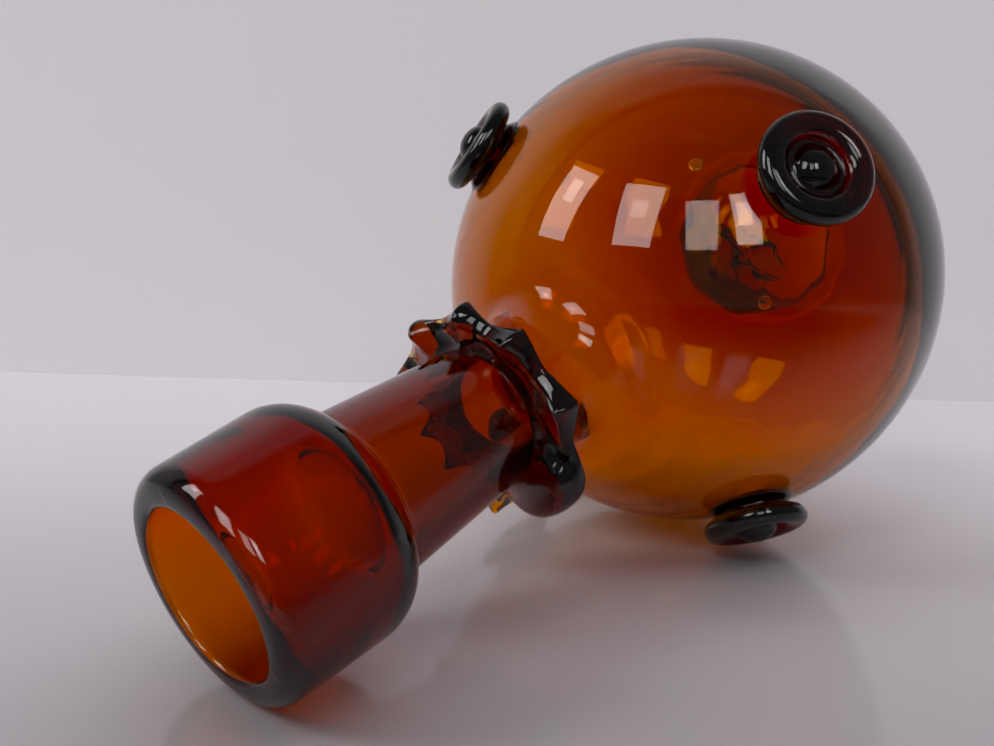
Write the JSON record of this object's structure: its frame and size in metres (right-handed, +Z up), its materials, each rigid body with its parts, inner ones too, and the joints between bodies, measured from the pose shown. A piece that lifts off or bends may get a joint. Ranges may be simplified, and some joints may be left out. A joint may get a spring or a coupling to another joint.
{
  "type": "decanter",
  "caption": "Globe-bodied hand-blown amber glass decanter with a cup mouth, a crimped neck collar and round ring-and-bead prunts on the shoulder.",
  "frame": {"origin": "centre of the standing ring, on the surface that the decanter stands on", "axes": "+Z up the decanter's axis, out through the mouth; -Y through the front prunt, +X through the right one"},
  "size_m": [0.1559, 0.1587, 0.25],
  "materials": {
    "amber_glass": "fire-polished, smooth",
    "thick_amber_glass": "fire-polished, tooled while hot",
    "broken_glass": "broken, sharp and uneven"
  },
  "bodies": {
    "root": {"globe": "amber_glass", "neck": "amber_glass", "mouth_cup": "amber_glass", "collar": "thick_amber_glass", "prunt_front": "thick_amber_glass", "prunt_right": "thick_amber_glass", "prunt_back": "thick_amber_glass", "prunt_left": "thick_amber_glass", "pontil_scar": "broken_glass"}
  },
  "joints": []
}
